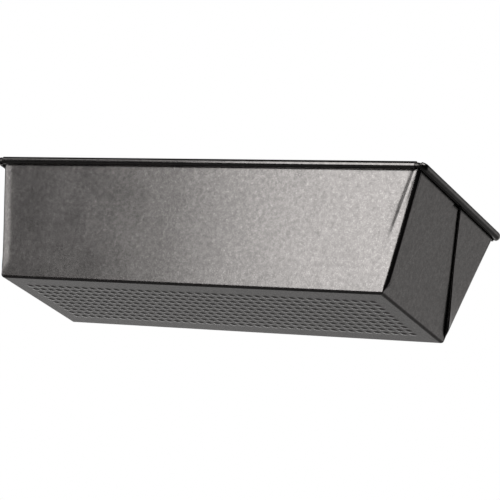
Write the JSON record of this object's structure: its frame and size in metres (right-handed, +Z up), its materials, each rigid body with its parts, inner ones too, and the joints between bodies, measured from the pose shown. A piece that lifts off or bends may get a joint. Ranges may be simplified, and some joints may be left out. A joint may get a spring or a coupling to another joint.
{
  "type": "loaf pan",
  "caption": "Rectangular sheet-steel loaf pan with leaning walls, folded corners, a wire-filled rolled rim and a bumped base.",
  "frame": {"origin": "middle of the base on the surface the pan stands on", "axes": "+X along the pan's length, +Y across its width towards the rear side wall, +Z up out of the pan's mouth"},
  "size_m": [0.3016, 0.112, 0.075],
  "materials": {
    "coated_steel": "dark grey satin non-stick coat with a fine metallic fleck on sheet steel",
    "rim_coating": "the same dark grey coat, glossier where the sheet is stretched round the wire",
    "wire_steel": "drawn steel wire, darkened by the coat at the rim's corner gaps"
  },
  "bodies": {
    "root": {"base_panel": "coated_steel", "front_side_panel": "coated_steel", "rear_side_panel": "coated_steel", "left_end_panel": "coated_steel", "right_end_panel": "coated_steel", "front_left_corner_fold": "coated_steel", "front_right_corner_fold": "coated_steel", "rear_left_corner_fold": "coated_steel", "rear_right_corner_fold": "coated_steel", "front_rim_roll": "rim_coating", "rear_rim_roll": "rim_coating", "left_rim_roll": "rim_coating", "right_rim_roll": "rim_coating", "rim_wire": "wire_steel"}
  },
  "joints": []
}
